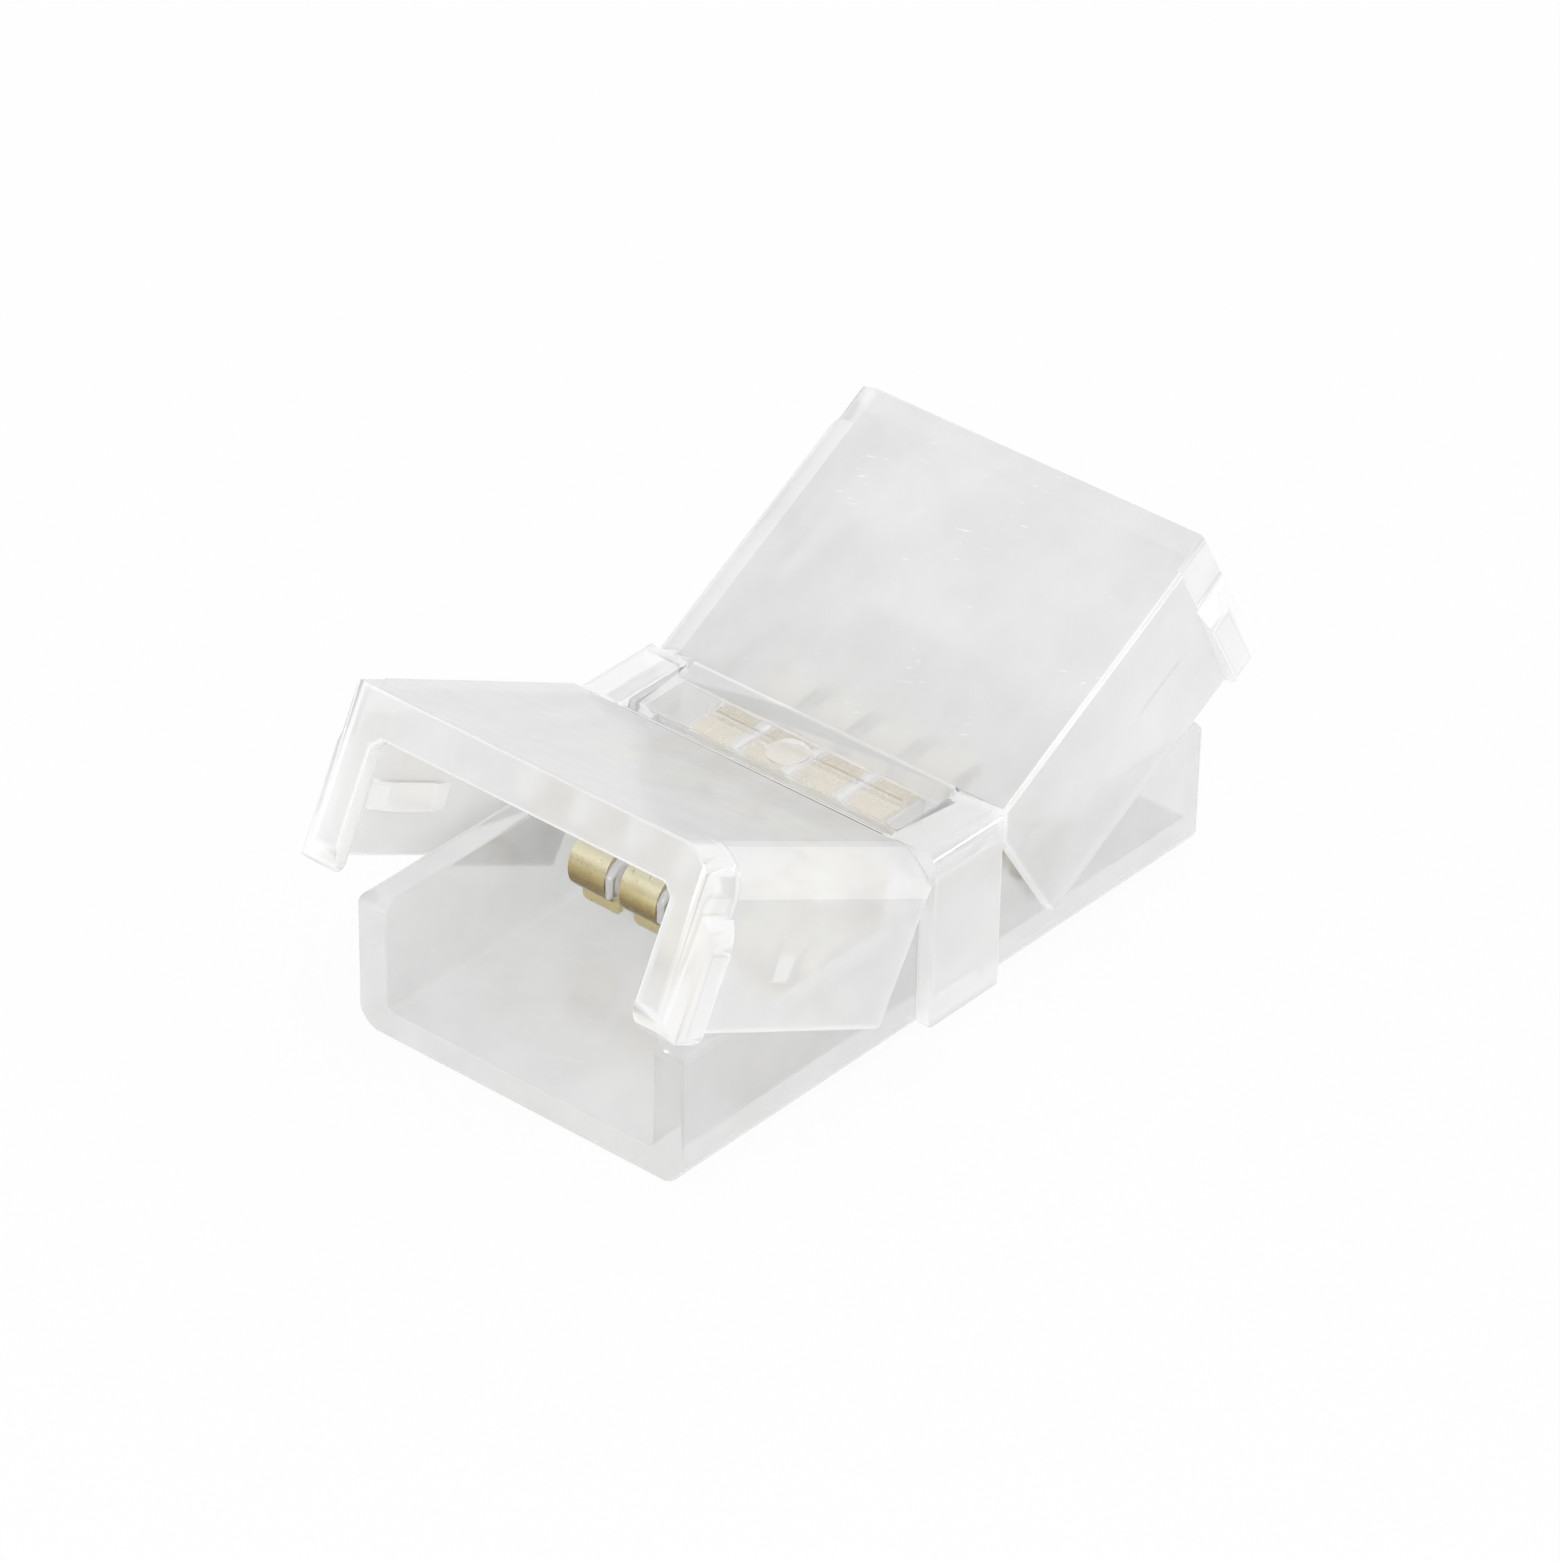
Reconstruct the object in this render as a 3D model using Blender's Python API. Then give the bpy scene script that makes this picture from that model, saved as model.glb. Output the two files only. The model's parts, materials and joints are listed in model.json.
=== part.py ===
# Solderless strip-to-strip connector for a four-wire LED strip, in clear moulded plastic.
# A tray takes one strip end from each side, four gold-plated springs bridge the two ends,
# a saddle clamps the springs in the middle, and two flip covers press the strips home.
# X runs along the strip, Y across it, Z up; the origin is the middle of the underside.
import math

import bmesh
import bpy
from mathutils import Matrix

MM = 0.001

# Tray
TRAY_LENGTH = 24.0
TRAY_WIDTH = 12.8
WALL = 1.15
FLOOR = 0.95
WALL_HEIGHT = 4.76
KEEL_RADIUS = 0.9
WALL_TOP_RADIUS = 0.4
WALL_END_RADIUS = 0.45
CHANNEL_CORNER = 0.25

# Contacts, one per wire of the strip
CONTACT_COUNT = 4
CONTACT_PITCH = 2.05
CONTACT_WIDTH = 1.45
CONTACT_THICKNESS = 0.2
FLAT_HALF = 2.3
ROOT_RADIUS = 1.0
ARM_SLOPE = 7.0
ARM_LENGTH = 2.35
NOSE_RADIUS = 0.87
NOSE_WRAP = 152.0
TAIL_RADIUS = 0.18
TAIL_BACK = 64.0
TAIL_LENGTH = 0.3
TOE_RADIUS = 0.25
TOE_WRAP = 60.0
TIP_CORNER = 0.35

# Comb that carries the contacts, its top measured down from the hinge axis
COMB_HALF = 2.0
COMB_MARGIN = 0.1
COMB_DROP = 0.73
COMB_CORNER = 0.3
FIN_THICKNESS = 0.3
FIN_REACH = 5.8
FIN_DROP = 0.2
FIN_DEPTH = 1.4
FIN_RISE = 0.2
FIN_SHOULDER = 0.6
FIN_NOSE = 0.3
FIN_CHIN = 1.2
FIN_CHIN_RISE = 0.35

# Hinges
HINGE_HEIGHT = 5.23
PIN_RADIUS = 0.35
PIN_CLEARANCE = 0.07
EAR_WALL = 0.33
PIVOT_DROP = 0.9
KNUCKLE_RADIUS = 0.85
OPEN_STOP = 30.0
FRONT_OPEN = 26.6
REAR_OPEN = 29.2

# Saddle in the middle, its top measured up from the hinge axis
SADDLE_HALF = 1.59
SADDLE_RISE = 1.57
CROWN_DROP = 0.18
CROWN_HALF = 1.0
SADDLE_PLATE = 1.1
ARM_BOTTOM = 0.6
SADDLE_EDGE = 0.45
CLAMP_FOOT = 0.25
CLAMP_CORNER = 0.5
CLAMP_WEB = 0.3
SNAP_BOTTOM = 0.9
SNAP_HEIGHT = 0.6
SNAP_LAND = 0.2
SNAP_REACH = 0.25
GATE_RADIUS = 0.7
GATE_DEPTH = 0.15

# Flip covers, measured from the hinge axis
COVER_WIDTH = 14.2
COVER_REACH = 10.82
PLATE = 0.9
PLATE_UNDER = 0.85
SKIRT = 0.48
SKIRT_DROP = 3.75
SKIRT_HEEL = 0.42
SKIRT_TAPER = 0.3
PORTAL_DEPTH = 0.65
PORTAL_LIP = 1.42
LIP_CORNER = 0.3
FRONT_TUCK = 0.1
LEG_BAND = 1.6
LEG_WIDTH = 1.6
LEG_DROP = 4.1
LEG_PROUD = 0.3
LEG_SHOULDER = 1.75
LEG_FLARE = 1.2
LEG_RADIUS = 0.5
LEG_CORNER = 0.8
FOOT_RADIUS = 1.0
COVER_EDGE_PLUS = 0.15
COVER_EDGE_MINUS = 1.3
PRESS_RIB_START = 1.45
PRESS_RIB_LENGTH = 1.65
PRESS_RIB_WIDTH = 0.5
LATCH_MIDDLE = 7.1
LATCH_LENGTH = 3.8
LATCH_DROP = 1.8
LATCH_HEIGHT = 0.95
LATCH_REACH = 0.16
LATCH_RAMP = 0.7

# Clearances between separate pieces
SEAT_GAP = 0.06
RUN_GAP = 0.1

# A joined solid starts this deep in its carrier, and a cutter reaches this far past its cut
ROOTED = 0.2
OVERCUT = 1.0

ARC_STEPS = 6
ROUND_SIDES = 32
BEND_STEP = 12.0

# Places that follow from the sizes above
stop_angle = math.radians(OPEN_STOP)
half_width = TRAY_WIDTH / 2
inner_width = half_width - WALL
comb_top = HINGE_HEIGHT - COMB_DROP
contact_mid = comb_top + SEAT_GAP + CONTACT_THICKNESS / 2
contact_top = contact_mid + CONTACT_THICKNESS / 2
contact_row = [(i - (CONTACT_COUNT - 1) / 2) * CONTACT_PITCH for i in range(CONTACT_COUNT)]
comb_width = contact_row[-1] + CONTACT_WIDTH / 2 + COMB_MARGIN
knuckle_x = CROWN_HALF + RUN_GAP + KNUCKLE_RADIUS
hinge_x = knuckle_x + PIVOT_DROP * math.sin(stop_angle)
plate_top = PLATE_UNDER + PLATE
knuckle_end = inner_width - RUN_GAP
ear_radius = PIN_RADIUS + PIN_CLEARANCE + EAR_WALL
saddle_top = HINGE_HEIGHT + SADDLE_RISE
saddle_crown = saddle_top - CROWN_DROP
saddle_under = saddle_top - SADDLE_PLATE
saddle_width = COVER_WIDTH / 2
skirt_inner = COVER_WIDTH / 2 - SKIRT
leg_side = COVER_WIDTH / 2 + LEG_PROUD


def arc(cx, cy, radius, start, end, steps=ARC_STEPS):
    """Points of an arc in degrees, both ends included."""
    angles = [math.radians(start + (end - start) * i / steps) for i in range(steps + 1)]
    return [(cx + radius * math.cos(a), cy + radius * math.sin(a)) for a in angles]


def rounded_box(x0, y0, x1, y1, radii):
    """Outline of a rectangle, anticlockwise from the lower left, with one radius a corner."""
    corners = [(x0, y0, 1, 1, 180), (x1, y0, -1, 1, 270), (x1, y1, -1, -1, 0), (x0, y1, 1, -1, 90)]
    points = []
    for (x, y, sx, sy, start), radius in zip(corners, radii):
        if radius:
            points += arc(x + sx * radius, y + sy * radius, radius, start, start + 90)
        else:
            points.append((x, y))
    return points


def corner_waste(x, y, right, up, radius):
    """What lies outside a round corner at (x, y); right and up (1 or -1) point out of the solid."""
    cx, cy = x - right * radius, y - up * radius
    points = [(cx + right * a, cy + up * b) for a, b in arc(0, 0, radius, 0, 90)]
    x_out, y_out = x + right * OVERCUT, y + up * OVERCUT
    return points + [(cx, y_out), (x_out, y_out), (x_out, cy)]


def clean(points):
    """The outline without points that repeat the one before them."""
    kept = []
    for point in points:
        if not kept or math.dist(point, kept[-1]) > 1e-4:
            kept.append(point)
    if math.dist(kept[0], kept[-1]) < 1e-4:
        kept.pop()
    return kept


def prism(outline, low, high, plane):
    """Solid from a closed outline in plane XZ, YZ or XY, drawn from low to high across it."""
    place = {
        "XZ": lambda a, b, c: (a, c, b),
        "YZ": lambda a, b, c: (c, a, b),
        "XY": lambda a, b, c: (a, b, c),
    }[plane]
    mesh = bmesh.new()
    rings = []
    for depth in (low, high):
        rings.append([mesh.verts.new([v * MM for v in place(a, b, depth)]) for a, b in clean(outline)])
    mesh.faces.new(rings[0])
    mesh.faces.new(list(reversed(rings[1])))
    count = len(rings[0])
    for i in range(count):
        j = (i + 1) % count
        mesh.faces.new((rings[0][i], rings[1][i], rings[1][j], rings[0][j]))
    bmesh.ops.recalc_face_normals(mesh, faces=mesh.faces)
    return mesh


def box(x0, x1, y0, y1, z0, z1):
    return prism([(x0, z0), (x1, z0), (x1, z1), (x0, z1)], y0, y1, "XZ")


def rod(x, z, radius, y0, y1):
    """Round bar along Y."""
    return prism(arc(x, z, radius, 0, 360, ROUND_SIDES), y0, y1, "XZ")


def material(name, colour, roughness, metallic=0.0, clear=0.0):
    made = bpy.data.materials.new(name)
    made.use_nodes = True
    shader = made.node_tree.nodes["Principled BSDF"]
    shader.inputs["Base Color"].default_value = (*colour, 1.0)
    shader.inputs["Roughness"].default_value = roughness
    shader.inputs["Metallic"].default_value = metallic
    shader.inputs["Transmission Weight"].default_value = clear
    shader.inputs["IOR"].default_value = 1.585 if clear else 1.45
    return made


def new_object(name, solid):
    data = bpy.data.meshes.new(name)
    solid.to_mesh(data)
    solid.free()
    made = bpy.data.objects.new(name, data)
    bpy.context.scene.collection.objects.link(made)
    return made


def combine(name, solid, steps):
    """One solid from a first one and a list of (UNION or DIFFERENCE, solid) steps."""
    body = new_object(name, solid)
    tools = []
    for index, (operation, tool) in enumerate(steps):
        cutter = new_object(f"{name}_step_{index}", tool)
        modifier = body.modifiers.new(f"step_{index}", "BOOLEAN")
        modifier.operation = operation
        modifier.solver = "EXACT"
        modifier.object = cutter
        tools.append(cutter)
    view = bpy.context.evaluated_depsgraph_get()
    result = bpy.data.meshes.new_from_object(body.evaluated_get(view))
    body.modifiers.clear()
    body.data = result
    result.name = name
    for cutter in tools:
        bpy.data.objects.remove(cutter)
    return body


def finish(body, look, crease=30.0):
    body.data.materials.clear()
    body.data.materials.append(look)
    body.data.shade_smooth()
    body.data.set_sharp_from_angle(angle=math.radians(crease))
    return body


def both_sides(make):
    """The same solid made for the left and the right side of the part."""
    return [make(-1), make(1)]


def mirrored_y(solid, side):
    """The solid as it is for side 1, and mirrored across the XZ plane for side -1."""
    if side < 0:
        solid.transform(Matrix.Scale(-1, 4, (0, 1, 0)))
        bmesh.ops.reverse_faces(solid, faces=solid.faces)
    return solid


def tray_section():
    """U-shaped section: keel corners and wall tops are round, the channel has a small fillet."""
    k, t, c = KEEL_RADIUS, WALL_TOP_RADIUS, CHANNEL_CORNER
    w, i, h = half_width, inner_width, WALL_HEIGHT
    right = arc(w - k, k, k, -90, 0) + arc(w - t, h - t, t, 0, 90)
    right += [(i, h)] + arc(i - c, FLOOR + c, c, 0, -90)
    left = [(-y, z) for y, z in reversed(right)]
    return right + left


def hinge_wall_outline():
    """Raised part of a tray wall: two ears round the hinge pins and the saddle's seat between."""
    seat = saddle_under - SEAT_GAP
    inner_corner = hinge_x - math.sqrt(max(ear_radius ** 2 - (seat - HINGE_HEIGHT) ** 2, 0.0))
    foot = hinge_x + ear_radius
    root = WALL_HEIGHT - WALL
    turn = math.degrees(math.acos((hinge_x - inner_corner) / ear_radius))
    ear = [(foot, root)] + arc(hinge_x, HINGE_HEIGHT, ear_radius, 0, 180 - turn, 2 * ARC_STEPS)
    return ear + [(-x, z) for x, z in reversed(ear)]


def comb_fin_outline():
    """Thin divider between two contacts, standing on the comb and reaching past their noses."""
    rise = contact_mid + FIN_RISE / 2
    top = comb_top - FIN_DROP
    bottom = top - FIN_DEPTH
    side = [(COMB_HALF, FLOOR - ROOTED), (COMB_HALF, bottom), (FIN_REACH - FIN_CHIN, bottom)]
    side += [(FIN_REACH, bottom + FIN_CHIN_RISE), (FIN_REACH, top - FIN_NOSE)]
    side += [(FIN_REACH - FIN_NOSE, top), (COMB_HALF + FIN_SHOULDER, rise)]
    return side + [(-x, z) for x, z in reversed(side)]


def tray(look):
    half = TRAY_LENGTH / 2
    steps = []
    for side in (-1, 1):
        low, high = sorted((side * inner_width, side * half_width))
        steps.append(("UNION", prism(hinge_wall_outline(), low, high, "XZ")))
    block = rounded_box(-COMB_HALF, -comb_width, COMB_HALF, comb_width, (COMB_CORNER,) * 4)
    steps.append(("UNION", prism(block, FLOOR - ROOTED, comb_top, "XY")))
    for gap in range(CONTACT_COUNT - 1):
        y = (contact_row[gap] + contact_row[gap + 1]) / 2
        fin = prism(comb_fin_outline(), y - FIN_THICKNESS / 2, y + FIN_THICKNESS / 2, "XZ")
        steps.append(("UNION", fin))
    for end in (-1, 1):
        for side in (-1, 1):
            low, high = sorted((side * (inner_width - OVERCUT), side * (half_width + OVERCUT)))
            hole = rod(end * hinge_x, HINGE_HEIGHT, PIN_RADIUS + PIN_CLEARANCE, low, high)
            steps.append(("DIFFERENCE", hole))
    for side in (-1, 1):
        steps.append(("DIFFERENCE", mirrored_y(snap_shape(SEAT_GAP), side)))
    for end in (-1, 1):
        waste = corner_waste(end * half, WALL_HEIGHT, end, 1, WALL_END_RADIUS)
        steps.append(("DIFFERENCE", prism(waste, -half_width - OVERCUT, half_width + OVERCUT, "XZ")))
    return finish(combine("tray", prism(tray_section(), -half, half, "YZ"), steps), look)


def snap_shape(grow):
    """Wedge inside a saddle arm; grown by its clearance it cuts the pocket in the tray wall."""
    root = saddle_arm_inner() + ROOTED
    tip = saddle_arm_inner() - SNAP_REACH - grow
    low, high = SNAP_BOTTOM - grow, SNAP_BOTTOM + SNAP_HEIGHT + grow
    outline = [(tip, high), (tip, high - SNAP_LAND - grow), (saddle_arm_inner() - grow, low)]
    outline += [(root, low), (root, high)]
    reach = CROWN_HALF + grow
    return prism(outline, -reach, reach, "YZ")


def saddle_arm_inner():
    return half_width + SEAT_GAP


def saddle(look):
    """Clear saddle: two arms over the tray walls, a crown between the covers, a clamp foot."""
    s, w, e = SADDLE_HALF, saddle_width, SADDLE_EDGE
    inner = saddle_arm_inner()
    outer = arc(w - e, saddle_top - e, e, 0, 90)
    right = [(inner, ARM_BOTTOM), (w, ARM_BOTTOM)] + outer
    left = [(-y, z) for y, z in reversed(right)]
    section = right + left + [(-inner, saddle_under), (inner, saddle_under)]
    steps = []
    gutter = inner_width + SEAT_GAP
    for end in (-1, 1):
        low, high = sorted((end * CROWN_HALF, end * (s + OVERCUT)))
        steps.append(("DIFFERENCE", box(low, high, -gutter, gutter, 0, saddle_top + OVERCUT)))
    reach = s + OVERCUT
    steps.append(("DIFFERENCE", box(-reach, reach, -gutter, gutter, saddle_crown, saddle_top + OVERCUT)))
    foot_bottom = contact_top + SEAT_GAP
    for end in (-1, 1):
        low, high = sorted((end * (CROWN_HALF - CLAMP_WEB), end * CROWN_HALF))
        web = box(low, high, -comb_width, comb_width, foot_bottom, saddle_under + ROOTED)
        steps.append(("UNION", web))
    foot = rounded_box(-COMB_HALF, -comb_width, COMB_HALF, comb_width, (CLAMP_CORNER,) * 4)
    steps.append(("UNION", prism(foot, foot_bottom, foot_bottom + CLAMP_FOOT, "XY")))
    for side in (-1, 1):
        steps.append(("UNION", mirrored_y(snap_shape(0.0), side)))
    gate = arc(0, 0, GATE_RADIUS, 0, 360, ROUND_SIDES)
    steps.append(("DIFFERENCE", prism(gate, saddle_crown - GATE_DEPTH, saddle_top + OVERCUT, "XY")))
    return finish(combine("saddle", prism(section, -s, s, "YZ"), steps), look)


def cover_outline(edges, half, bottom, side_line):
    """Outer outline of a cover across the strip, closed along its underside."""
    right = side_line + arc(half - edges[1], plate_top - edges[1], edges[1], 0, 90)
    left = side_line + arc(half - edges[0], plate_top - edges[0], edges[0], 0, 90)
    inside = skirt_inner - RUN_GAP
    return [(inside, bottom)] + right + [(-y, z) for y, z in reversed(left)] + [(-inside, bottom)]


def cover_body(edges):
    """Plate and skirts before they are hollowed, without the front frame."""
    half = COVER_WIDTH / 2
    outline = cover_outline(edges, half, -SKIRT_DROP, [(half, -SKIRT_DROP)])
    return prism(outline, -COVER_REACH + LEG_BAND - ROOTED, SKIRT_HEEL + OVERCUT, "YZ")


def cover_front(edges):
    """Front frame before it is hollowed: its legs swell out of it below a shoulder."""
    half = COVER_WIDTH / 2 - FRONT_TUCK
    swell = leg_side - half
    shoulder = plate_top - LEG_SHOULDER
    flare_radius = (swell ** 2 + LEG_FLARE ** 2) / (2 * swell)
    flare_turn = math.degrees(math.asin(LEG_FLARE / flare_radius))
    side_line = arc(leg_side - LEG_RADIUS, -LEG_DROP + LEG_RADIUS, LEG_RADIUS, 270, 360)
    side_line += arc(leg_side - flare_radius, shoulder - LEG_FLARE, flare_radius, 0, flare_turn)
    outline = cover_outline(edges, half, -LEG_DROP, side_line)
    return prism(outline, -COVER_REACH, -COVER_REACH + LEG_BAND, "YZ")


def front_corners():
    """What is cut off the front frame: its upright corners, and the fronts of its feet."""
    low, high = -LEG_DROP - OVERCUT, plate_top + OVERCUT
    foot = corner_waste(-COVER_REACH, -LEG_DROP, -1, -1, FOOT_RADIUS)
    cutters = [prism(foot, -leg_side - OVERCUT, leg_side + OVERCUT, "XZ")]
    for side in (-1, 1):
        upright = corner_waste(-COVER_REACH, side * leg_side, -1, side, LEG_CORNER)
        cutters.append(prism(upright, low, high, "XY"))
    return cutters


def cover_hollow():
    """Room inside a cover, from the back of its front frame to its open heel."""
    outline = [(skirt_inner, -LEG_DROP - OVERCUT), (skirt_inner, PLATE_UNDER)]
    outline += [(-y, z) for y, z in reversed(outline)]
    return prism(outline, -COVER_REACH + PORTAL_DEPTH, SKIRT_HEEL + 2 * OVERCUT, "YZ")


def portal_opening():
    """Opening of the front frame, with round inner corners on the feet of its legs."""
    inner, r = leg_side - LEG_WIDTH, LEG_RADIUS
    lip = plate_top - PORTAL_LIP
    right = [(inner + r, -LEG_DROP - OVERCUT)] + arc(inner + r, -LEG_DROP + r, r, 270, 180)
    right += [(inner, lip - LIP_CORNER), (inner - LIP_CORNER, lip)]
    outline = right + [(-y, z) for y, z in reversed(right)]
    return prism(outline, -COVER_REACH - OVERCUT, -COVER_REACH + PORTAL_DEPTH + ROOTED, "YZ")


def heel_cutter():
    """What is cut away behind the cover: clear of the saddle arm when the cover is fully open."""
    stop = (hinge_x - SADDLE_HALF - SEAT_GAP) / math.cos(stop_angle)
    slope = math.tan(stop_angle)
    bend = (SKIRT_HEEL - stop) / -slope
    top, bottom, back = plate_top + OVERCUT, -LEG_DROP - OVERCUT, SKIRT_HEEL + 3 * OVERCUT
    outline = [(stop - top * slope, top), (SKIRT_HEEL, bend)]
    outline += [(SKIRT_HEEL - SKIRT_TAPER, -SKIRT_DROP), (SKIRT_HEEL - SKIRT_TAPER, bottom)]
    outline += [(back, bottom), (back, top)]
    reach = COVER_WIDTH / 2 + OVERCUT
    return prism(outline, -reach, reach, "XZ")


def latch_bump(side):
    """Ramped bump inside a skirt that rides down the tray wall and holds the cover shut."""
    near = -(LATCH_MIDDLE - LATCH_LENGTH / 2)
    far = -(LATCH_MIDDLE + LATCH_LENGTH / 2)
    root = skirt_inner + ROOTED
    tip = skirt_inner - LATCH_REACH
    outline = [(far, root), (far, skirt_inner), (far + LATCH_RAMP, tip), (near - LATCH_RAMP, tip)]
    outline += [(near, skirt_inner), (near, root)]
    low, high = -LATCH_DROP - LATCH_HEIGHT / 2, -LATCH_DROP + LATCH_HEIGHT / 2
    return mirrored_y(prism(outline, low, high, "XY"), side)


def cover_mesh():
    """One flip cover in its closed position, reaching along -X from its hinge axis."""
    edges = (COVER_EDGE_MINUS, COVER_EDGE_PLUS)
    steps = [("UNION", cover_front(edges)), ("DIFFERENCE", cover_hollow())]
    steps += [("DIFFERENCE", portal_opening()), ("DIFFERENCE", heel_cutter())]
    steps += [("DIFFERENCE", cutter) for cutter in front_corners()]
    knuckle = rod(0, PIVOT_DROP, KNUCKLE_RADIUS, -knuckle_end, knuckle_end)
    steps.append(("UNION", knuckle))
    steps += [("UNION", solid) for solid in both_sides(latch_bump)]
    for side in (-1, 1):
        low, high = sorted((side * (inner_width + RUN_GAP), side * (skirt_inner + ROOTED)))
        steps.append(("UNION", rod(0, 0, PIN_RADIUS, low, high)))
    rib_bottom = contact_top + RUN_GAP - HINGE_HEIGHT
    for y in contact_row:
        start, end = -PRESS_RIB_START - PRESS_RIB_LENGTH, -PRESS_RIB_START
        rib = box(start, end, y - PRESS_RIB_WIDTH / 2, y + PRESS_RIB_WIDTH / 2,
                  rib_bottom, PLATE_UNDER + ROOTED)
        steps.append(("UNION", rib))
    return combine("front_cover", cover_body(edges), steps)


def covers(look):
    """Both covers are the same moulding; the rear one is turned half round."""
    front = finish(cover_mesh(), look)
    rear = bpy.data.objects.new("rear_cover", front.data)
    bpy.context.scene.collection.objects.link(rear)
    for cover, end, opening, turn in ((front, -1, FRONT_OPEN, 0.0), (rear, 1, REAR_OPEN, math.pi)):
        cover.location = (end * hinge_x * MM, 0, HINGE_HEIGHT * MM)
        cover.rotation_euler = (0, math.radians(opening), turn)


def bend_path(start, moves):
    """Centre line of a bent strip: ('line', length) or ('bend', radius, degrees) in turn."""
    x, z = start
    heading = 0.0
    points = [(x, z, heading)]
    for move in moves:
        if move[0] == "line":
            x += move[1] * math.cos(heading)
            z += move[1] * math.sin(heading)
            points.append((x, z, heading))
            continue
        radius, sweep = move[1], math.radians(move[2])
        side = math.copysign(1, sweep)
        steps = max(3, round(abs(move[2]) / BEND_STEP))
        cx, cz = x - side * radius * math.sin(heading), z + side * radius * math.cos(heading)
        for i in range(1, steps + 1):
            turned = heading + sweep * i / steps
            x = cx + side * radius * math.sin(turned)
            z = cz - side * radius * math.cos(turned)
            points.append((x, z, turned))
        heading += sweep
    return points


def contact_outline():
    """Profile of one contact: flat in the comb, then on each side an arm, a nose and a tail."""
    moves = [("line", FLAT_HALF), ("bend", ROOT_RADIUS, -ARM_SLOPE), ("line", ARM_LENGTH)]
    moves += [("bend", NOSE_RADIUS, -NOSE_WRAP), ("bend", TAIL_RADIUS, TAIL_BACK)]
    moves += [("line", TAIL_LENGTH), ("bend", TOE_RADIUS, -TOE_WRAP)]
    path = bend_path((0.0, contact_mid), moves)
    half = CONTACT_THICKNESS / 2
    upper = [(x - half * math.sin(a), z + half * math.cos(a)) for x, z, a in path]
    lower = [(x + half * math.sin(a), z - half * math.cos(a)) for x, z, a in path]
    right = lower + list(reversed(upper))
    left = [(-x, z) for x, z in reversed(right)]
    return right[1:-1] + left[1:-1]


def tip_corner(end, side):
    """What is cut off to round one corner of a contact's tail, across the strip."""
    low, high = sorted((end * FLAT_HALF, end * (FLAT_HALF + ARM_LENGTH + 3 * NOSE_RADIUS)))
    waste = corner_waste(side * CONTACT_WIDTH / 2, contact_tip(), side, -1, TIP_CORNER)
    return prism(waste, low, high, "YZ")


def contact_tip():
    """Height of the lowest point of a contact."""
    return min(z for x, z in contact_outline())


def contacts(look):
    for index, y in enumerate(contact_row):
        solid = prism(contact_outline(), -CONTACT_WIDTH / 2, CONTACT_WIDTH / 2, "XZ")
        corners = [("DIFFERENCE", tip_corner(end, side)) for end in (-1, 1) for side in (-1, 1)]
        contact = finish(combine(f"contact_{index + 1}", solid, corners), look)
        contact.location = (0, y * MM, 0)


for old in list(bpy.data.objects):
    bpy.data.objects.remove(old)

clear_plastic = material("clear_plastic", (0.93, 0.94, 0.94), 0.05, clear=1.0)
gold_plate = material("gold_plate", (0.83, 0.68, 0.36), 0.22, metallic=1.0)

tray(clear_plastic)
saddle(clear_plastic)
covers(clear_plastic)
contacts(gold_plate)
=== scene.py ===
import json
import math

import bmesh
import bpy
from mathutils import Matrix, Vector


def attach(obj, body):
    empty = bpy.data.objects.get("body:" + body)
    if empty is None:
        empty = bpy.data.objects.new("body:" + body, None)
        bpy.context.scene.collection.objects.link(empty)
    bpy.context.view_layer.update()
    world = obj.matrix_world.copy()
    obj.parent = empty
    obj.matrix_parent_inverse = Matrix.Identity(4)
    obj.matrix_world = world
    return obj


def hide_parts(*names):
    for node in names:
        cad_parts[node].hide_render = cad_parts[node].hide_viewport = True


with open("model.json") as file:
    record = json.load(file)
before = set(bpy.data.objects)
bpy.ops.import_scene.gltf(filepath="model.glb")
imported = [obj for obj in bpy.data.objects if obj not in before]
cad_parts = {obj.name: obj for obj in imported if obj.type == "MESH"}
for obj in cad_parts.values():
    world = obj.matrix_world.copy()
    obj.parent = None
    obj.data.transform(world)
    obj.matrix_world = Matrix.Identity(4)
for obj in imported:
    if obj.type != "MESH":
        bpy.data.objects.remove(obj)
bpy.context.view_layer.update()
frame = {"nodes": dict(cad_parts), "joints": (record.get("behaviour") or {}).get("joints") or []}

# Camera: it looks down over one corner of the tray from far back, through a long lens, and
# is rolled about one degree. Distances are in metres, angles in degrees.
CAMERA_TURN = 49.89
CAMERA_HEIGHT = 33.49
CAMERA_ROLL = 1.07
CAMERA_DISTANCE = 0.27310
CAMERA_AIM = (-0.000128, 0.004646)
FOCAL_PIXELS = 9000
PHOTO_WIDTH = 1560
SENSOR_MM = 36.0
NEAREST_SEEN = 0.01

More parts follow.
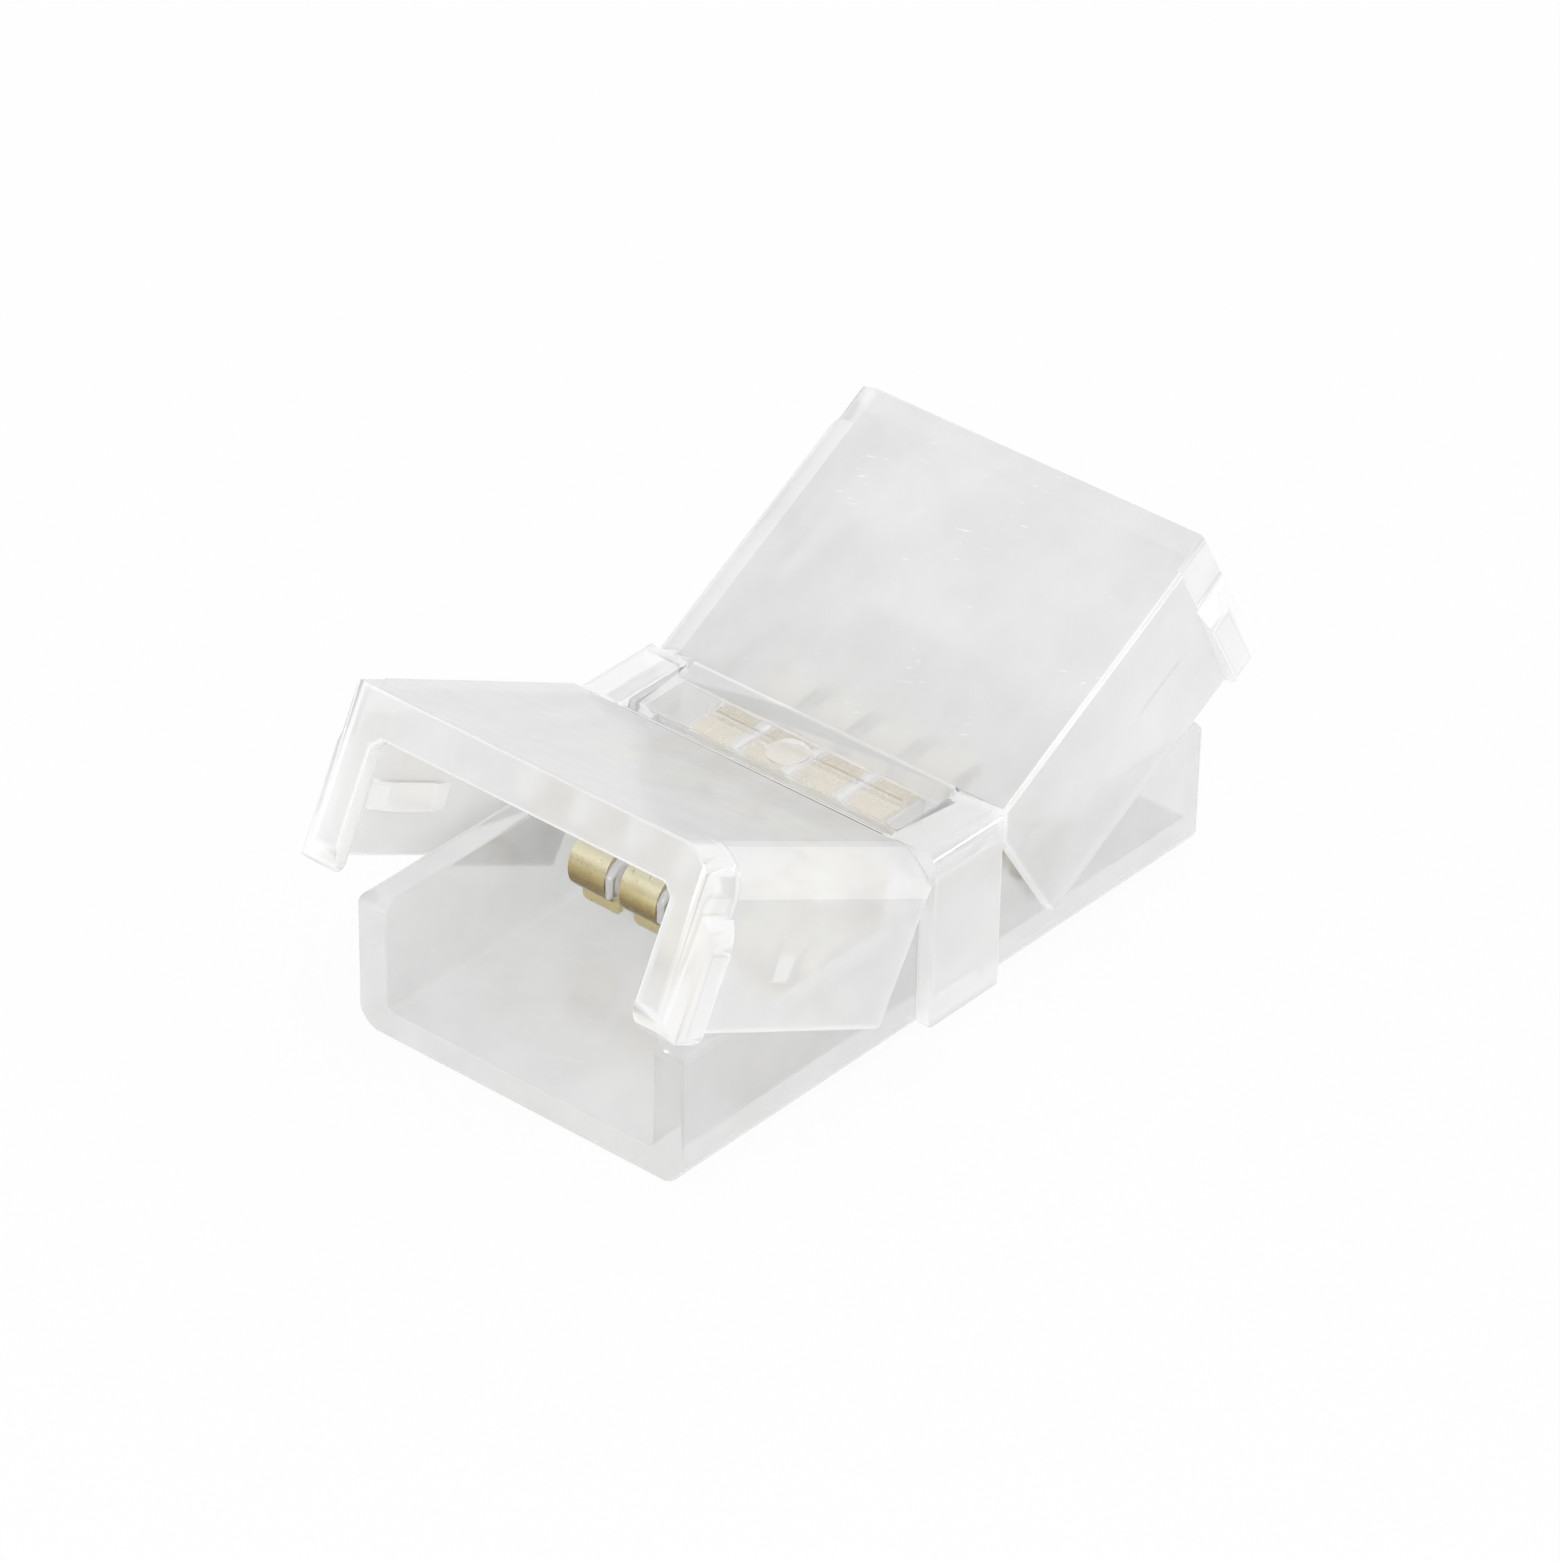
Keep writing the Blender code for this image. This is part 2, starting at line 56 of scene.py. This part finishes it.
turn, height, roll = (math.radians(v) for v in (CAMERA_TURN, CAMERA_HEIGHT, CAMERA_ROLL))
level_right = Vector((math.cos(turn), -math.sin(turn), 0))
level_ahead = Vector((math.sin(turn), math.cos(turn), 0))
ahead = level_ahead * math.cos(height) - Vector((0, 0, math.sin(height)))
level_up = level_ahead * math.sin(height) + Vector((0, 0, math.cos(height)))
right = level_right * math.cos(roll) + level_up * math.sin(roll)
up = level_up * math.cos(roll) - level_right * math.sin(roll)
place = right * CAMERA_AIM[0] + up * CAMERA_AIM[1] - ahead * CAMERA_DISTANCE
camera = bpy.data.objects.new("camera", bpy.data.cameras.new("camera"))
camera.data.sensor_width = SENSOR_MM
camera.data.lens = FOCAL_PIXELS / PHOTO_WIDTH * SENSOR_MM
camera.data.clip_start = NEAREST_SEEN
camera.matrix_world = Matrix.Translation(place) @ Matrix((right, up, -ahead)).transposed().to_4x4()
bpy.context.scene.collection.objects.link(camera)
bpy.context.scene.camera = camera

# Table: a wide sheet of white paper that the tray stands on. What looks straight at it, through
# the clear plastic or by way of a reflection sees it nearly white, and a thin shadow stays.
TABLE_HALF = 3.0
TABLE_DROP = 0.00002
PAPER_COLOUR = (0.93, 0.93, 0.93, 1)
PAPER_GLOW = 0.9


def add(tree, kind, values=None, **settings):
    """A new node of a tree, with its settings and the values of its inputs."""
    node = tree.nodes.new(kind)
    for name, value in settings.items():
        setattr(node, name, value)
    for name, value in (values or {}).items():
        node.inputs[name].default_value = value
    return node


def maths(tree, operation, first, second=None, third=None):
    """Output of a Math node whose inputs are numbers or other nodes' outputs."""
    node = add(tree, "ShaderNodeMath", operation=operation)
    for socket, value in zip(node.inputs, (first, second, third)):
        if isinstance(value, (int, float)):
            socket.default_value = value
        elif value is not None:
            tree.links.new(value, socket)
    return node.outputs[0]


table_mesh = bpy.data.meshes.new("table")
signs = [(-1, -1), (1, -1), (1, 1), (-1, 1)]
corners = [(x * TABLE_HALF, y * TABLE_HALF, -TABLE_DROP) for x, y in signs]
table_mesh.from_pydata(corners, [], [(0, 1, 2, 3)])
table = bpy.data.objects.new("table", table_mesh)
bpy.context.scene.collection.objects.link(table)
paper = bpy.data.materials.new("white_paper")
paper.use_nodes = True
tree = paper.node_tree
tree.nodes.clear()
rays = add(tree, "ShaderNodeLightPath")
seen = maths(tree, "MAXIMUM", rays.outputs["Is Camera Ray"], rays.outputs["Is Transmission Ray"])
seen = maths(tree, "MAXIMUM", seen, rays.outputs["Is Glossy Ray"])
sheet = add(tree, "ShaderNodeBsdfDiffuse", {"Color": PAPER_COLOUR})
glow = add(tree, "ShaderNodeEmission", {"Strength": 1.0})
mix = add(tree, "ShaderNodeMixShader")
out = add(tree, "ShaderNodeOutputMaterial")
tree.links.new(maths(tree, "MULTIPLY", seen, PAPER_GLOW), mix.inputs[0])
tree.links.new(sheet.outputs[0], mix.inputs[1])
tree.links.new(glow.outputs[0], mix.inputs[2])
tree.links.new(mix.outputs[0], out.inputs[0])
table_mesh.materials.append(paper)

# Studio: a white tent round the table, a little darker low on the left, and two soft boxes that
# draw the bright lines along the moulded edges. What looks straight at the tent sees white.
TENT_WHITE = (1.0, 1.0, 1.0, 1)
TENT_BRIGHT = 0.848
TENT_DIM = 0.608
TENT_BRIGHT_SIDE = (0.2, -0.6, 0.75)
TENT_FROM, TENT_TO = -0.7, 0.6
KEY_PLACE, KEY_SIZE, KEY_WATTS = (-0.35, -0.05, 0.3), 0.1, 0.5
SIDE_PLACE, SIDE_SIZE, SIDE_WATTS = (0.3, -0.3, 0.12), 0.06, 0.3

world = bpy.data.worlds.new("studio")
bpy.context.scene.world = world
world.use_nodes = True
tree = world.node_tree
tree.nodes.clear()
coords = add(tree, "ShaderNodeTexCoord")
toward = add(tree, "ShaderNodeVectorMath", operation="DOT_PRODUCT")
toward.inputs[1].default_value = Vector(TENT_BRIGHT_SIDE).normalized()
spread = add(tree, "ShaderNodeMapRange", interpolation_type="SMOOTHSTEP", values={
    "From Min": TENT_FROM, "From Max": TENT_TO, "To Min": TENT_DIM, "To Max": TENT_BRIGHT})
seen = add(tree, "ShaderNodeLightPath").outputs["Is Camera Ray"]
background = add(tree, "ShaderNodeBackground", {"Color": TENT_WHITE})
out = add(tree, "ShaderNodeOutputWorld")
tree.links.new(coords.outputs["Generated"], toward.inputs[0])
tree.links.new(toward.outputs["Value"], spread.inputs["Value"])
tree.links.new(maths(tree, "MAXIMUM", seen, spread.outputs[0]), background.inputs["Strength"])
tree.links.new(background.outputs[0], out.inputs[0])


def soft_box(name, place, size, watts):
    """A square lamp that faces the part."""
    lamp = bpy.data.lights.new(name, "AREA")
    lamp.size = size
    lamp.energy = watts
    box = bpy.data.objects.new(name, lamp)
    box.location = place
    box.rotation_euler = Vector(place).to_track_quat("Z", "Y").to_euler()
    bpy.context.scene.collection.objects.link(box)


soft_box("key", KEY_PLACE, KEY_SIZE, KEY_WATTS)
soft_box("side", SIDE_PLACE, SIDE_SIZE, SIDE_WATTS)

# Tray: one clear polycarbonate moulding, a U-shaped channel with hinge ears and a comb inside.
# It has the slightly wavy skin and the soft edges of a polished mould, short scratches and dust.
TRAY_TONE = 0.73
TRAY_CLEAR = 0.6
TRAY_HAZE = 0.1
TRAY_RIM_HIGHLIGHT = 0.0
EDGE_RADIUS = 0.00012
EDGE_STEPS = 2
EDGE_PROFILE = 0.5
SHARP_TURN = math.radians(35)
FLAT_TURN = math.radians(0.5)
SMOOTH_TURN = math.radians(40)
SHORTEST_EDGE = 0.0003
SAME_POINT = 1e-6
LEAST_REACH = 2.0
# Rounded edges and narrow end faces get a painted highlight, END_GLOW on the end faces.
ROUND_WIDTH = 0.0003
END_WIDTH = 0.0009
END_GLOW = 0.6


def is_flush(face):
    """True where a neighbour carries the face on in the same plane."""
    around = {other for edge in face.edges for other in edge.link_faces} - {face}
    return any(other.normal.angle(face.normal) < FLAT_TURN for other in around)


def mark_rims(solid):
    """Float layer that paints highlights: 1 along the middle of rounded edges, END_GLOW on narrow end
    faces, else 0.
    """
    rim_highlight = solid.loops.layers.float.new("rim_highlight")
    width = {face: 2 * face.calc_area() / face.calc_perimeter() for face in solid.faces}
    for face in solid.faces:
        for corner in face.loops:
            if width[face] < ROUND_WIDTH:
                corner[rim_highlight] = float(all(width[other] < ROUND_WIDTH for other in corner.vert.link_faces))
            elif width[face] < END_WIDTH and not is_flush(face):
                corner[rim_highlight] = END_GLOW
            else:
                corner[rim_highlight] = 0.0


def reach(face, edge):
    """How far a face reaches from one of its edges."""
    start, end = (vert.co for vert in edge.verts)
    along = (end - start).normalized()
    return max(((vert.co - start) - along * along.dot(vert.co - start)).length for vert in face.verts)


def softened(node, body, radius, picks_frost_and_highlight=None):
    """A copy of a solid with rounded edges, which stands for it; the given test picks its matt faces,
    rougher and painted white as highlights.
    """
    source = frame["nodes"][node]
    mesh = source.data.copy()
    piece = bpy.data.objects.new(node + "_finished", mesh)
    bpy.context.scene.collection.objects.link(piece)
    solid = bmesh.new()
    solid.from_mesh(mesh)
    solid.transform(source.matrix_world)
    bmesh.ops.remove_doubles(solid, verts=solid.verts, dist=SAME_POINT)
    bmesh.ops.dissolve_limit(solid, angle_limit=FLAT_TURN, verts=solid.verts, edges=solid.edges)
    edges = [e for e in solid.edges if e.is_manifold and e.calc_face_angle() > SHARP_TURN
             and e.calc_length() > SHORTEST_EDGE
             and min(reach(face, e) for face in e.link_faces) > LEAST_REACH * radius]
    bmesh.ops.bevel(solid, geom=edges, offset=radius, offset_type="OFFSET", segments=EDGE_STEPS,
                    profile=EDGE_PROFILE, affect="EDGES", clamp_overlap=False)
    bmesh.ops.dissolve_degenerate(solid, dist=SAME_POINT, edges=solid.edges)
    mark_rims(solid)
    # Painted highlight: the faces picked here are drawn white as well as rougher.
    frost_and_highlight = solid.faces.layers.float.new("frost_and_highlight")
    for face in solid.faces:
        face[frost_and_highlight] = float(picks_frost_and_highlight is not None and picks_frost_and_highlight(face))
        face.smooth = True
    solid.to_mesh(mesh)
    solid.free()
    mesh.set_sharp_from_angle(angle=SMOOTH_TURN)
    weighted = piece.modifiers.new("weighted", "WEIGHTED_NORMAL")
    weighted.keep_sharp = True
    mesh.materials.clear()
    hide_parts(node)
    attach(piece, body)
    return piece


def new_group(name, inputs, outputs):
    """A node group with named inputs (their values are set where it is used) and outputs."""
    group = bpy.data.node_groups.new(name, "ShaderNodeTree")
    for label in inputs:
        group.interface.new_socket(label, in_out="INPUT", socket_type="NodeSocketFloat")
    for label, kind in outputs:
        group.interface.new_socket(label, in_out="OUTPUT", socket_type=kind)
    return group, add(group, "NodeGroupInput"), add(group, "NodeGroupOutput")


def noise(tree, vector, scale, detail, roughness=0.5):
    """Cloudy noise round 0.5, with its scale in waves per metre."""
    node = add(tree, "ShaderNodeTexNoise", {"Scale": scale, "Detail": detail, "Roughness": roughness})
    tree.links.new(vector, node.inputs["Vector"])
    return node.outputs["Fac"]


def between(tree, value, low, high, to_low=0.0, to_high=1.0):
    """A value spread from one range to another, held at its ends."""
    node = add(tree, "ShaderNodeMapRange", {
        "From Min": low, "From Max": high, "To Min": to_low, "To Max": to_high})
    tree.links.new(value, node.inputs["Value"])
    return node.outputs[0]


# The skin of every clear moulding: broad mottling, fine ripple, short scratches in patches, and
# dust. Scratches and dust are a little lighter than the skin. Rounded edges carry a painted highlight.
# Matt faces are rougher and painted white as a highlight.
MOTTLE_SCALE = 420
MOTTLE_FROM, MOTTLE_TO = 0.35, 0.68
MOTTLE_MIDDLE = 0.5
MOTTLE_DEPTH = 0.06
MOTTLE_RELIEF = 2.0
RIPPLE_SCALE = 1700
RIPPLE_STRETCH = (0.35, 1.0, 1.0)
STROKE_SCALE = 9000
STROKE_STRETCH = (1.0, 16.0, 1.0)
STROKE_TURN = (0.0, 0.0, 0.35)
STROKE_FROM, STROKE_TO = 0.7, 0.76
PATCH_SCALE = 260
PATCH_FROM, PATCH_TO = 0.5, 0.6
DUST_SCALE = 1500
DUST_SIZE = 0.1
DUST_CORE = 0.6
DUST_LEFT_OUT = 0.93
MARK_LIGHT = 0.06
HAZE_SPREAD = 0.5
FROST_ROUGHNESS = 0.2

skin, given, result = new_group(
    "moulded_skin", ("Tone", "Mottle", "Rim highlight", "Haze", "Marks"),
    (("Colour", "NodeSocketColor"), ("Roughness", "NodeSocketFloat"), ("Height", "NodeSocketFloat"),
     ("Frost and highlight", "NodeSocketFloat")))
where = add(skin, "ShaderNodeTexCoord").outputs["Object"]
mottle = between(skin, noise(skin, where, MOTTLE_SCALE, detail=3.0), MOTTLE_FROM, MOTTLE_TO)
stretch = add(skin, "ShaderNodeMapping", {"Scale": RIPPLE_STRETCH})
skin.links.new(where, stretch.inputs["Vector"])
ripple = noise(skin, stretch.outputs[0], RIPPLE_SCALE, detail=2.0)
bend = add(skin, "ShaderNodeMapping", {"Scale": STROKE_STRETCH, "Rotation": STROKE_TURN},
           vector_type="TEXTURE")
skin.links.new(where, bend.inputs["Vector"])
line = between(skin, noise(skin, bend.outputs[0], STROKE_SCALE, detail=1.0), STROKE_FROM, STROKE_TO)
patch = between(skin, noise(skin, where, PATCH_SCALE, detail=1.0), PATCH_FROM, PATCH_TO)
line = maths(skin, "MULTIPLY", line, patch)
cells = add(skin, "ShaderNodeTexVoronoi", {"Scale": DUST_SCALE, "Randomness": 1.0})
skin.links.new(where, cells.inputs["Vector"])
drawn = add(skin, "ShaderNodeSeparateColor")
skin.links.new(cells.outputs["Color"], drawn.inputs[0])
kept = maths(skin, "GREATER_THAN", drawn.outputs[0], DUST_LEFT_OUT)
dust = between(skin, cells.outputs["Distance"], DUST_SIZE * DUST_CORE, DUST_SIZE, 1.0, 0.0)
dust = maths(skin, "MULTIPLY", dust, kept)
marks = maths(skin, "MULTIPLY", maths(skin, "MAXIMUM", line, dust), given.outputs["Marks"])
rim_highlight = add(skin, "ShaderNodeAttribute", attribute_name="rim_highlight").outputs["Fac"]
frost_and_highlight = add(skin, "ShaderNodeAttribute", attribute_name="frost_and_highlight").outputs["Fac"]
tone = maths(skin, "SUBTRACT", mottle, MOTTLE_MIDDLE)
tone = maths(skin, "MULTIPLY_ADD", tone, given.outputs["Mottle"], given.outputs["Tone"])
# Painted highlight: rounded edges and narrow end faces are made lighter.
tone = maths(skin, "MULTIPLY_ADD", rim_highlight, given.outputs["Rim highlight"], tone)
tone = maths(skin, "MINIMUM", maths(skin, "MULTIPLY_ADD", marks, MARK_LIGHT, tone), 1.0)
# Painted highlight: matt faces are made white.
tone = maths(skin, "MAXIMUM", tone, frost_and_highlight)
rough = maths(skin, "MULTIPLY", given.outputs["Haze"], HAZE_SPREAD)
rough = maths(skin, "MULTIPLY_ADD", mottle, rough, given.outputs["Haze"])
rough = maths(skin, "MULTIPLY_ADD", frost_and_highlight, FROST_ROUGHNESS, rough)
relief = maths(skin, "MULTIPLY_ADD", mottle, MOTTLE_RELIEF, ripple)
colour = add(skin, "ShaderNodeCombineColor")
for channel in colour.inputs:
    skin.links.new(tone, channel)
skin.links.new(colour.outputs[0], result.inputs["Colour"])
skin.links.new(rough, result.inputs["Roughness"])
skin.links.new(relief, result.inputs["Height"])
skin.links.new(frost_and_highlight, result.inputs["Frost and highlight"])

# Polycarbonate: a see-through share and a milky one under a polished skin. The far side of a
# wall, seen from inside it, is mostly left out, and the plastic throws only a faint shadow.
POLYCARBONATE_IOR = 1.585
POLISH = 0.3
POLISH_ROUGHNESS = 0.03
WAVE_HEIGHT = 0.0000015
WALL_INSIDE = 0.25
SHADOW_SHARE = 0.12
PLAIN_MARKS = 1.0


def clear_plastic(name, tone, clear, haze, rim_highlight, marks=PLAIN_MARKS, inside=WALL_INSIDE):
    """Clear plastic: clear is its see-through share, rim its painted edge highlight, inside how solid a
    wall's far side looks.
    """
    made = bpy.data.materials.new(name)
    made.use_nodes = True
    tree = made.node_tree
    shader = tree.nodes["Principled BSDF"]
    shader.inputs["IOR"].default_value = POLYCARBONATE_IOR
    shader.inputs["Transmission Weight"].default_value = clear
    shader.inputs["Coat Weight"].default_value = POLISH
    shader.inputs["Coat Roughness"].default_value = POLISH_ROUGHNESS
    shader.inputs["Coat IOR"].default_value = POLYCARBONATE_IOR
    surface = add(tree, "ShaderNodeGroup", node_tree=skin)
    for label, value in (("Tone", tone), ("Mottle", MOTTLE_DEPTH), ("Rim highlight", rim_highlight), ("Haze", haze),
                         ("Marks", marks)):
        surface.inputs[label].default_value = value
    back = add(tree, "ShaderNodeNewGeometry").outputs["Backfacing"]
    lamp = add(tree, "ShaderNodeLightPath").outputs["Is Shadow Ray"]
    solid = maths(tree, "MULTIPLY_ADD", back, inside - 1.0, 1.0)
    # Matt faces painted white as highlights are drawn solid.
    solid = maths(tree, "MAXIMUM", solid, surface.outputs["Frost and highlight"])
    solid = maths(tree, "MULTIPLY", solid, maths(tree, "MULTIPLY_ADD", lamp, SHADOW_SHARE - 1.0, 1.0))
    bump = add(tree, "ShaderNodeBump", {"Strength": 1.0, "Distance": WAVE_HEIGHT})
    tree.links.new(solid, shader.inputs["Alpha"])
    tree.links.new(surface.outputs["Colour"], shader.inputs["Base Color"])
    tree.links.new(surface.outputs["Roughness"], shader.inputs["Roughness"])
    tree.links.new(surface.outputs["Height"], bump.inputs["Height"])
    tree.links.new(bump.outputs[0], shader.inputs["Normal"])
    return made


tray = softened("tray", "base", EDGE_RADIUS)
tray.data.materials.append(clear_plastic("tray_plastic", TRAY_TONE, TRAY_CLEAR, TRAY_HAZE, TRAY_RIM_HIGHLIGHT))

# Contacts: four spring strips stamped and bent from copper alloy and gold plated at both noses.
# The plating is painted by height: a painted highlight on top, painted shade round the curl and a
# lighter lip below. It is pitted where a strip has rubbed on it.
BARE_COLOUR = (0.80, 0.70, 0.50, 1)
PAINTED_GOLD_LIGHT_BY_HEIGHT = (
    (0.00190, (0.66, 0.58, 0.32, 1)), (0.00270, (0.72, 0.63, 0.36, 1)), (0.00300, (0.22, 0.16, 0.06, 1)),
    (0.00330, (0.34, 0.26, 0.11, 1)), (0.00370, (0.66, 0.55, 0.28, 1)), (0.00410, (1.00, 0.93, 0.66, 1)),
    (0.00460, (1.00, 0.98, 0.82, 1)))
HEIGHT_JITTER = 0.0002
GOLD_ROUGHNESS = 0.2
PLATED_FROM, PLATED_TO = 0.0036, 0.0041
WEAR_SCALE = 2600
WEAR_MIDDLE = 0.5
WEAR_ROUGHNESS = 0.12
RUBBED_SCALE = 1040
RUBBED_FROM, RUBBED_TO = 0.42, 0.6
PIT_COLOUR = (0.2, 0.15, 0.07, 1)
PIT_SHARE = 0.7
PIT_SCALE = 5500
PIT_STRETCH = (0.6, 2.0, 0.6)
PIT_GRAIN = 0.6
PIT_FROM, PIT_TO = 0.64, 0.7
PIT_ROUGHNESS = 0.2
PIT_DEPTH = 0.000003
COLOUR_INPUTS, COLOUR_OUTPUT = slice(6, 8), 2
CONTACT_EDGE = 0.00003
CONTACT_COUNT = 4


def blended(tree, share, first, second):
    """Colour that goes from the first to the second; each is a colour or a node's output."""
    node = add(tree, "ShaderNodeMix", data_type="RGBA")
    tree.links.new(share, node.inputs["Factor"])
    for socket, value in zip(node.inputs[COLOUR_INPUTS], (first, second)):
        if isinstance(value, tuple):
            socket.default_value = value
        else:
            tree.links.new(value, socket)
    return node.outputs[COLOUR_OUTPUT]


gold = bpy.data.materials.new("gold_plate")
gold.use_nodes = True
tree = gold.node_tree
shader = tree.nodes["Principled BSDF"]
shader.inputs["Metallic"].default_value = 1.0
where = add(tree, "ShaderNodeTexCoord").outputs["Object"]
spot = add(tree, "ShaderNodeSeparateXYZ")
tree.links.new(where, spot.inputs[0])
wear = noise(tree, where, WEAR_SCALE, detail=3.0)
raised = maths(tree, "SUBTRACT", wear, WEAR_MIDDLE)
raised = maths(tree, "MULTIPLY_ADD", raised, HEIGHT_JITTER, spot.outputs["Z"])
low, high = PAINTED_GOLD_LIGHT_BY_HEIGHT[0][0], PAINTED_GOLD_LIGHT_BY_HEIGHT[-1][0]
# Painted highlight and painted shade on the gold, from a ramp over height.
painted_gold_light = add(tree, "ShaderNodeValToRGB")
tree.links.new(between(tree, raised, low, high), painted_gold_light.inputs[0])
bands = painted_gold_light.color_ramp.elements
bands[0].color, bands[1].color = PAINTED_GOLD_LIGHT_BY_HEIGHT[0][1], PAINTED_GOLD_LIGHT_BY_HEIGHT[-1][1]
for level, colour in PAINTED_GOLD_LIGHT_BY_HEIGHT[1:-1]:
    bands.new((level - low) / (high - low)).color = colour
stretch = add(tree, "ShaderNodeMapping", {"Scale": PIT_STRETCH})
tree.links.new(where, stretch.inputs["Vector"])
pits = noise(tree, stretch.outputs[0], PIT_SCALE, detail=2.0, roughness=PIT_GRAIN)
rubbed = between(tree, noise(tree, where, RUBBED_SCALE, detail=1.0), RUBBED_FROM, RUBBED_TO)
pits = maths(tree, "MULTIPLY", between(tree, pits, PIT_FROM, PIT_TO), rubbed)
plated = between(tree, maths(tree, "ABSOLUTE", spot.outputs["X"]), PLATED_FROM, PLATED_TO)
colour = blended(tree, maths(tree, "MULTIPLY", pits, PIT_SHARE), painted_gold_light.outputs[0], PIT_COLOUR)
tree.links.new(blended(tree, plated, BARE_COLOUR, colour), shader.inputs["Base Color"])
rough = maths(tree, "MULTIPLY_ADD", pits, PIT_ROUGHNESS, GOLD_ROUGHNESS)
rough = maths(tree, "MULTIPLY_ADD", wear, WEAR_ROUGHNESS, rough)
tree.links.new(rough, shader.inputs["Roughness"])
bump = add(tree, "ShaderNodeBump", {"Strength": 1.0, "Distance": PIT_DEPTH})
tree.links.new(maths(tree, "SUBTRACT", wear, pits), bump.inputs["Height"])
tree.links.new(bump.outputs[0], shader.inputs["Normal"])
for index in range(CONTACT_COUNT):
    contact = softened(f"contact_{index + 1}", "base", CONTACT_EDGE)
    contact.data.materials.append(gold)

# Saddle: a clear polycarbonate bridge that snaps over the tray walls and clamps the contacts.
# Its crown is a polished window that the contacts show through, round a small matt gate mark, rougher
# and painted white as a highlight.
# The saddle's tone is raised to white as painted light that lifts the shade it sits in.
SADDLE_TONE = 1.0
SADDLE_CLEAR = 0.62
SADDLE_HAZE = 0.02
SADDLE_RIM_HIGHLIGHT = 0.12
WINDOW_CLEAR = 0.82
WINDOW_INSIDE = 0.1
WINDOW_HALF_WIDTH = 0.0048
GATE_REACH = 0.0008
GATE_ABOVE = 0.006
GATE_AREA = 2e-6


def is_gate(middle, area):
    """True for a face of the sunk round gate mark on top of the crown."""
    return middle.xy.length < GATE_REACH and middle.z > GATE_ABOVE and area < GATE_AREA


saddle = softened("saddle", "base", EDGE_RADIUS,
                  lambda face: is_gate(face.calc_center_median(), face.calc_area()))
saddle.data.materials.append(clear_plastic(
    "saddle_plastic", SADDLE_TONE, SADDLE_CLEAR, SADDLE_HAZE, SADDLE_RIM_HIGHLIGHT))
saddle.data.materials.append(clear_plastic(
    "saddle_window_plastic", SADDLE_TONE, WINDOW_CLEAR, SADDLE_HAZE, SADDLE_RIM_HIGHLIGHT, inside=WINDOW_INSIDE))
for face in saddle.data.polygons:
    window = abs(face.center.y) < WINDOW_HALF_WIDTH and not is_gate(face.center, face.area)
    face.material_index = int(window)

# Covers: two flip covers from one mould, with legs, latch bumps, press ribs and hinge pins on
# them. Faces at the ends of the skirts, on latch ramps and ribs and inside the legs are rougher and
# painted white as highlights.
# The tones are painted light and shade: the front cover's frame, legs and skirts are painted lighter
# than its plate, and the rear cover is painted darker than the front cover's frame.
FRONT_TONE, FRONT_PLATE_TONE, FRONT_CLEAR = 0.86, 0.75, 0.36
REAR_TONE, REAR_PLATE_TONE, REAR_CLEAR = 0.78, 0.78, 0.28
COVER_HAZE = 0.17
COVER_RIM_HIGHLIGHT = 0.2
PLATE_MARKS = 2.5
PLATE_REACH = 0.0013
PLATE_FACING = 0.99
LEG_INNER = 0.0058
SKIRT_INNER = 0.0065
RIBS_WITHIN = 0.005
HEEL_REACH = 0.0042
MATT_HIGHLIGHT_BAND = 0.0002
SIDE_FACING = 0.95
RAMP_FROM, RAMP_TO = 0.9, 0.985
END_FACING = 0.3


def is_matt_highlight(face, hinge):
    """True for the faces made rougher and painted white as highlights: the skirts' heel ends, the latch
    ramps, the press ribs and the legs' inner sides.
    """
    middle = face.calc_center_median()
    away, facing = abs(middle.y), abs(face.normal.y)
    heel = facing < END_FACING and away > SKIRT_INNER and (middle.xz - hinge.xz).length < HEEL_REACH
    leg = facing > SIDE_FACING and abs(away - LEG_INNER) < MATT_HIGHLIGHT_BAND
    ramp = RAMP_FROM < facing < RAMP_TO and abs(away - SKIRT_INNER) < MATT_HIGHLIGHT_BAND
    rib = facing > SIDE_FACING and away < RIBS_WITHIN
    return heel or leg or ramp or rib


hinges = {joint["child"]: Vector(joint["pos_m"]) for joint in frame["joints"]}
for name, tone, plate_tone, clear in (("front_cover", FRONT_TONE, FRONT_PLATE_TONE, FRONT_CLEAR),
                                      ("rear_cover", REAR_TONE, REAR_PLATE_TONE, REAR_CLEAR)):
    hinge = hinges[name]
    cover = softened(name, name, EDGE_RADIUS, lambda face: is_matt_highlight(face, hinge))
    cover.data.materials.append(clear_plastic(name + "_plastic", tone, clear, COVER_HAZE, COVER_RIM_HIGHLIGHT))
    cover.data.materials.append(clear_plastic(
        name + "_plate_plastic", plate_tone, clear, COVER_HAZE, COVER_RIM_HIGHLIGHT, marks=PLATE_MARKS))
    plate = max(cover.data.polygons, key=lambda face: face.area)
    level, over = plate.center.copy(), plate.normal.copy()
    for face in cover.data.polygons:
        near = abs((face.center - level).dot(over)) < PLATE_REACH
        face.material_index = int(near and abs(face.normal.dot(over)) > PLATE_FACING)

bpy.context.scene.view_settings.view_transform = "Standard"
